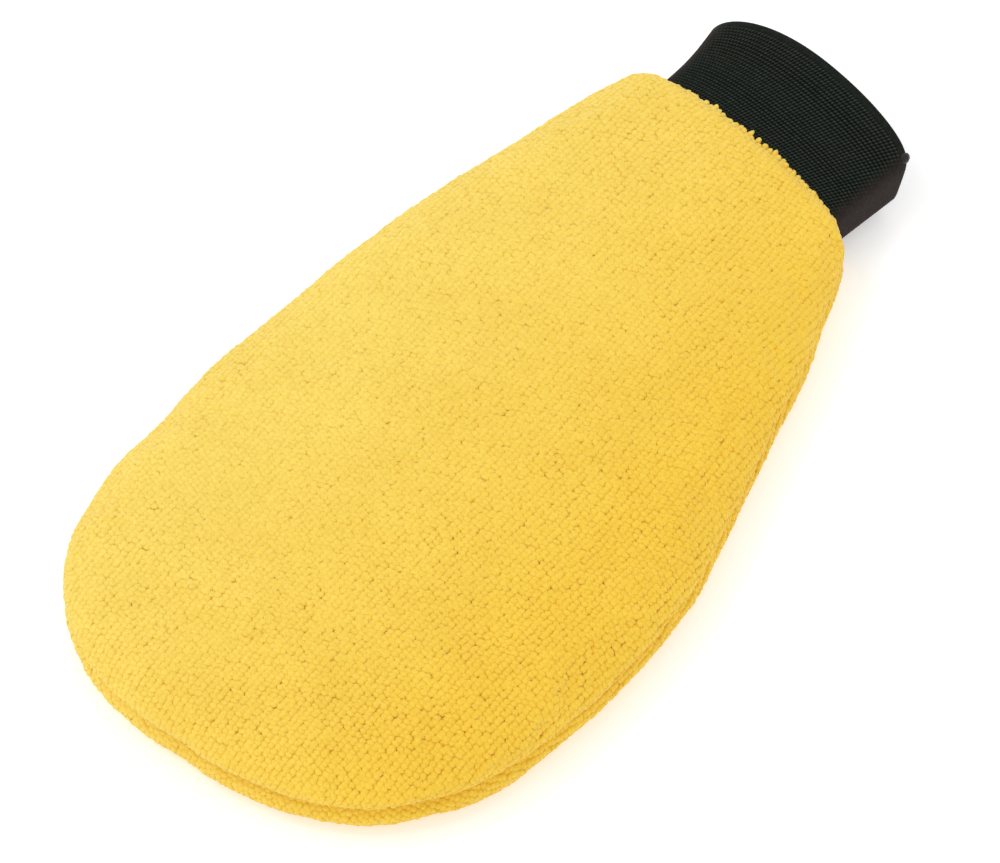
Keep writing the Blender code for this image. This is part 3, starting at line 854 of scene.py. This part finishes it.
class Material:
    """A small helper that adds shader nodes by name and links them."""

    def __init__(self, name, roughness, specular=0.2, sheen=0.0, sheen_tint=(1, 1, 1), sheen_roughness=0.5):
        self.material = bpy.data.materials.new(name)
        self.material.use_nodes = True
        self.tree = self.material.node_tree
        self.shader = self.tree.nodes["Principled BSDF"]
        self.shader.inputs["Roughness"].default_value = roughness
        self.shader.inputs["Specular IOR Level"].default_value = specular
        self.shader.inputs["Sheen Weight"].default_value = sheen
        self.shader.inputs["Sheen Tint"].default_value = (*sheen_tint, 1)
        self.shader.inputs["Sheen Roughness"].default_value = sheen_roughness

    def link(self, output, target):
        self.tree.links.new(output, target)

    def texture(self, kind, output, **inputs):
        """A procedural texture over object coordinates."""
        node = self.tree.nodes.new(kind)
        for key, value in inputs.items():
            node.inputs[key].default_value = value
        coordinates = self.tree.nodes.new("ShaderNodeTexCoord")
        self.link(coordinates.outputs["Object"], node.inputs["Vector"])
        return node.outputs[output]

    def noise(self, scale, detail=2.0):
        return self.texture("ShaderNodeTexNoise", "Fac", Scale=scale, Detail=detail)

    def attribute(self, name):
        node = self.tree.nodes.new("ShaderNodeAttribute")
        node.attribute_name = name
        return node.outputs["Fac"]

    def ramp(self, source, *stops):
        """Colours by the value of a source."""
        node = self.tree.nodes.new("ShaderNodeValToRGB")
        ramp = node.color_ramp
        while len(ramp.elements) < len(stops):
            ramp.elements.new(0.5)
        for element, (place, colour) in zip(ramp.elements, stops):
            element.position = place
            element.color = (*colour, 1)
        self.link(source, node.inputs["Fac"])
        return node.outputs["Color"]

    def blend_colours(self, kind, first, second):
        node = self.tree.nodes.new("ShaderNodeMix")
        node.data_type = "RGBA"
        node.blend_type = kind
        node.inputs["Factor"].default_value = 1.0
        self.link(first, node.inputs[6])
        self.link(second, node.inputs[7])
        return node

    def times(self, first, second):
        return self.blend_colours("MULTIPLY", first, second).outputs[2]

    def mix(self, share, first, second):
        node = self.blend_colours("MIX", first, second)
        self.link(share, node.inputs["Factor"])
        return node.outputs[2]

    def colour(self, output):
        self.link(output, self.shader.inputs["Base Color"])

    def bump(self, height, strength, distance):
        node = self.tree.nodes.new("ShaderNodeBump")
        node.inputs["Strength"].default_value = strength
        node.inputs["Distance"].default_value = distance
        self.link(height, node.inputs["Height"])
        self.link(node.outputs["Normal"], self.shader.inputs["Normal"])


def terry_material():
    """Looped microfibre: painted shade, a deeper colour down among the knobs with paler tips; painted light,
    paler on the left; slow patches of tone.
    """
    made = Material("terry_pile", 0.9, specular=0.1, sheen=0.5, sheen_tint=(1.0, 0.93, 0.72),
                    sheen_roughness=0.4)
    # painted shade: each knob darkens towards its root, down in the gaps between knobs where shade falls
    depth = made.ramp(made.attribute("tip"), (0.45, (0.88, 0.64, 0.100)), (0.80, (0.915, 0.70, 0.150)),
                      (1.0, (0.925, 0.72, 0.165)))
    # painted light: paler on the left and deeper, more orange on the right, as the light falls from the left
    nap = made.ramp(made.attribute("nap"), (0.15, (1.0, 1.0, 1.0)), (0.85, (0.985, 0.87, 0.45)))
    tone = made.ramp(made.attribute("tone"), (0.0, (0.97, 0.95, 0.88)), (1.0, (1.0, 1.0, 1.0)))
    patch = made.ramp(made.noise(42), (0.35, (0.975, 0.955, 0.90)), (0.65, (1.0, 1.0, 1.0)))
    fibre = made.ramp(made.noise(1900, 3.0), (0.36, (0.96, 0.92, 0.78)), (0.60, (1.0, 1.0, 1.0)))
    made.colour(made.times(made.times(depth, nap), made.times(tone, made.times(patch, fibre))))
    made.bump(made.noise(1700, 3.0), 0.6, 0.0004)
    return made.material


def ground_material():
    """The knitted ground cloth between the knobs, coloured deeper than the pile's tips: painted shade for
    the gaps among the knobs.
    """
    made = Material("terry_ground", 0.9, specular=0.1)
    made.colour(made.ramp(made.noise(700), (0.3, (0.82, 0.57, 0.055)), (0.7, (0.90, 0.65, 0.085))))
    made.bump(made.noise(1500), 0.5, 0.0003)
    return made.material


def elastic_material():
    """Black woven elastic: painted shade, nearly black down between the ribs, and painted light, greenish
    grey on the tops of the stitches; painted sheen, a lighter brown, on the folded sides.
    """
    made = Material("woven_elastic", 0.7, specular=0.06, sheen=0.06, sheen_tint=(1.0, 0.78, 0.70),
                    sheen_roughness=0.3)
    # painted shade and light: the colour follows the height of ribs and stitches, nearly black in the
    # grooves and greenish grey on the tops
    rib = made.ramp(made.attribute("ridge"), (0.15, (0.0008, 0.0018, 0.0012)), (0.90, (0.066, 0.080, 0.066)))
    fleck = made.ramp(made.noise(900), (0.35, (0.55, 0.57, 0.55)), (0.7, (1.0, 1.0, 1.0)))
    patch = made.ramp(made.noise(60), (0.40, (0.86, 1.0, 0.93)), (0.60, (1.0, 0.93, 0.88)))
    # painted sheen: a lighter, brownish colour on the folded side walls, where light grazes the band
    painted_sheen = made.ramp(made.noise(900), (0.3, (0.020, 0.0145, 0.0135)), (0.7, (0.030, 0.0225, 0.0210)))
    made.colour(made.mix(made.attribute("plain"), made.times(made.times(rib, fleck), patch), painted_sheen))
    made.bump(made.noise(3000), 0.4, 0.0002)
    return made.material


def woven_material(name, dark, light, threads_per_metre):
    """Plain weave: two crossed sets of fine threads."""
    made = Material(name, 0.7, sheen=0.15)
    crossed = made.tree.nodes.new("ShaderNodeMath")
    crossed.operation = "MULTIPLY"
    for number, direction in enumerate("XY"):
        scale = threads_per_metre / math.pi / 2
        wave = made.texture("ShaderNodeTexWave", "Fac", Scale=scale, Distortion=0.3)
        wave.node.bands_direction = direction
        made.link(wave, crossed.inputs[number])
    made.colour(made.ramp(crossed.outputs["Value"], (0.0, dark), (0.6, light)))
    made.bump(crossed.outputs["Value"], 0.4, 0.0002)
    return made.material


def sponge_material():
    """Open-cell sponge: small pores with darker walls."""
    made = Material("sponge", 0.9)
    pores = made.texture("ShaderNodeTexVoronoi", "Distance", Scale=900.0)
    made.colour(made.ramp(pores, (0.1, (0.36, 0.35, 0.33)), (0.5, (0.66, 0.65, 0.61))))
    made.bump(pores, 0.6, 0.0005)
    return made.material


def thread_material(name, dark, light):
    """Spun thread: fine twisted fibres."""
    made = Material(name, 0.6, sheen=0.15)
    made.colour(made.ramp(made.noise(2400, 3.0), (0.3, dark), (0.7, light)))
    made.bump(made.noise(4200), 0.4, 0.0002)
    return made.material


def floor_material():
    """A white light table: it glows a little, so that shadows stay faint."""
    made = Material("pale_floor", 0.9)
    made.shader.inputs["Emission Color"].default_value = (1, 1, 1, 1)
    made.shader.inputs["Emission Strength"].default_value = TABLE_GLOW
    made.colour(made.ramp(made.noise(2.0), (0.0, (0.78, 0.78, 0.78)), (1.0, (0.80, 0.80, 0.80))))
    return made.material


# ---------------------------------------------------------------- putting the pieces together


def dress(piece, material, slot, *nodes, body="mitt_body"):
    """Give a piece its material, and the CAD nodes it stands for. The slot argument is not used."""
    piece.data.materials.clear()
    piece.data.materials.append(material)
    if nodes:
        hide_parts(*nodes)
    if body == "between":
        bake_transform(piece)
    else:
        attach(piece, body)
    return piece


def build_body():
    faces = body_faces()
    pile_look = terry_material()
    ground_look = ground_material()
    sponge_look = sponge_material()
    lining_look = woven_material("lining_weave", (0.62, 0.61, 0.57), (0.84, 0.83, 0.79), 1600)
    for side, word in ((1, "front"), (-1, "back")):
        points, flat = faces[side]
        cloth = terry_cloth(f"{word}_terry_cloth", side, points)
        dress(cloth, ground_look, "yellow_terry", f"{word}_terry_panel", body="between")
        strips = pile(word, side, points, flat)
        for strip in strips:
            dress(strip, pile_look, "yellow_terry", body="between")
        sponge = sponge_pad(f"{word}_sponge", side, points)
        dress(sponge, sponge_look, "sponge_foam", f"{word}_foam_pad", body="between")
        lining = hand_lining(f"{word}_hand_lining", side, points)
        dress(lining, lining_look, "lining_cloth", f"{word}_lining", body="between")


def build_seams():
    yellow = thread_material("yellow_thread", (0.66, 0.36, 0.02), (0.86, 0.58, 0.07))
    white = thread_material("white_thread", (0.62, 0.61, 0.57), (0.85, 0.84, 0.80))
    groove_bottom = GROOVE_DEPTH + PILE_HEIGHT
    stitch_line = seam_path(groove_bottom - 0.0004)[SEAM_END:-SEAM_END]
    lockstitch = stitches("perimeter_stitches", stitch_line, 0.0026, 0.00033, 0.0002)
    dress(lockstitch, yellow, "yellow_thread", "perimeter_seam_thread", body="between")
    edge = seam_path(groove_bottom + ALLOWANCE, clear_of_cuff=True)[BINDING_END:-BINDING_END]
    binding = overlock("perimeter_overlock", edge, 0.0022, 0.0006, 0.0009, 0.00012)
    dress(binding, yellow, "yellow_thread", "perimeter_overlock_thread", body="between")
    lining_edge = seam_path(LINING_DEPTH + GROOVE_DEPTH + 0.0004, clear_of_cuff=True)
    closing = stitches("lining_stitches", lining_edge, 0.0024, 0.00022, 0.0002)
    dress(closing, white, "white_thread", "lining_seam_thread", body="between")


def build_cuff():
    black = thread_material("black_thread", (0.006, 0.006, 0.006), (0.026, 0.024, 0.022))
    band = woven_band("wrist_band")
    dress(band, elastic_material(), "black_elastic", "cuff_band", body="cuff")
    _, girth = even_turns(8)
    inside = BAND_WALL + 0.0010
    bar = cuff_point(np.full(40, SIDE_SEAM_TURN), np.linspace(0.02, 1.0, 40), inside)
    side_seam = overlock("cuff_side_overlock", bar, 0.0012, 0.0007, 0.0009, 0.00034)
    dress(side_seam, black, "black_thread", "cuff_seam_thread", body="cuff")
    nub = seam_nub("cuff_seam_nub")
    dress(nub, black, "black_thread", body="cuff")
    ring = cuff_point(np.linspace(0, 2 * math.pi, 181), 0.055, -0.0004)
    neck = stitches("neck_stitches", ring, 0.0030, 0.0003, 0.0)
    dress(neck, black, "black_thread", "neck_seam_thread", body="cuff")


def seam_nub(name):
    """The end of the side seam: its binding thread gathered into a small knob over the rim."""
    centre = cuff_point(SIDE_SEAM_TURN, 1.0, 0.0) + np.array([-0.0003, -0.0010, -0.0006])
    down = np.linspace(0, math.pi, 25)[:, None]
    turn = np.linspace(0, 2 * math.pi, 33)[:-1][None]
    winding = 1 + 0.05 * np.sin(9 * down + turn)
    radius = 0.00135 * winding
    x = radius * np.sin(down) * np.cos(turn)
    z = radius * 1.3 * np.sin(down) * np.sin(turn)
    y = 0.0017 * np.cos(down) * np.ones_like(turn)
    return add_grid(name, centre + np.stack([x, y, z], axis=-1), wrap_rows=True)


# ---------------------------------------------------------------- studio

CAMERA_AZIMUTH = math.radians(38)
CAMERA_ELEVATION = math.radians(56)
CAMERA_DISTANCE = 1.4
PIXELS_PER_METRE = 3588
SENSOR = 36.0
TABLE_GLOW = 0.35
WORLD_GLOW = 1.0
KEY_POWER = 5.0
PICTURE_WIDTH = 1000
TARGET_LEFT = 0.0047
TARGET_DOWN = 0.0072


def view_axes():
    """Right, up and towards the camera."""
    level = math.cos(CAMERA_ELEVATION)
    back = np.array([
        math.sin(CAMERA_AZIMUTH) * level,
        -math.cos(CAMERA_AZIMUTH) * level,
        math.sin(CAMERA_ELEVATION),
    ])
    right = np.array([math.cos(CAMERA_AZIMUTH), math.sin(CAMERA_AZIMUTH), 0.0])
    return right, np.cross(back, right), back


def aim(thing, place, target):
    thing.location = Vector(place)
    direction = Vector(target) - Vector(place)
    thing.rotation_euler = direction.to_track_quat("-Z", "Y").to_euler()


def build_camera():
    right, up, back = view_axes()
    target = np.array([0.0, 0.0, MIDDLE_Z]) - right * TARGET_LEFT - up * TARGET_DOWN
    data = bpy.data.cameras.new("camera")
    data.sensor_width = SENSOR
    data.lens = SENSOR * CAMERA_DISTANCE * PIXELS_PER_METRE / PICTURE_WIDTH
    data.clip_end = 20
    camera = bpy.data.objects.new("camera", data)
    bpy.context.scene.collection.objects.link(camera)
    aim(camera, target + back * CAMERA_DISTANCE, target)
    bpy.context.scene.camera = camera


def area_light(name, place, size, power):
    data = bpy.data.lights.new(name, "AREA")
    data.shape = "DISK"
    data.size = size
    data.energy = power
    light = bpy.data.objects.new(name, data)
    bpy.context.scene.collection.objects.link(light)
    aim(light, place, (0, 0, MIDDLE_Z))


def build_studio():
    right, up, back = view_axes()
    world = bpy.data.worlds.new("studio")
    world.use_nodes = True
    world.node_tree.nodes["Background"].inputs["Color"].default_value = (1, 1, 1, 1)
    world.node_tree.nodes["Background"].inputs["Strength"].default_value = WORLD_GLOW
    bpy.context.scene.world = world
    area_light("key", right * -0.9 + up * 0.8 + back * 1.3, 0.9, KEY_POWER)
    size = 6.0
    corners = np.array([(-size, -size, 0), (size, -size, 0), (size, size, 0), (-size, size, 0)])
    floor = add_mesh("floor", corners + [0, 0, FLOOR_Z - 0.0002], [[0, 1, 2, 3]], smooth=False)
    floor.data.materials.append(floor_material())
    bpy.context.scene.view_settings.view_transform = "Standard"


build_camera()
build_studio()
build_body()
build_seams()
build_cuff()
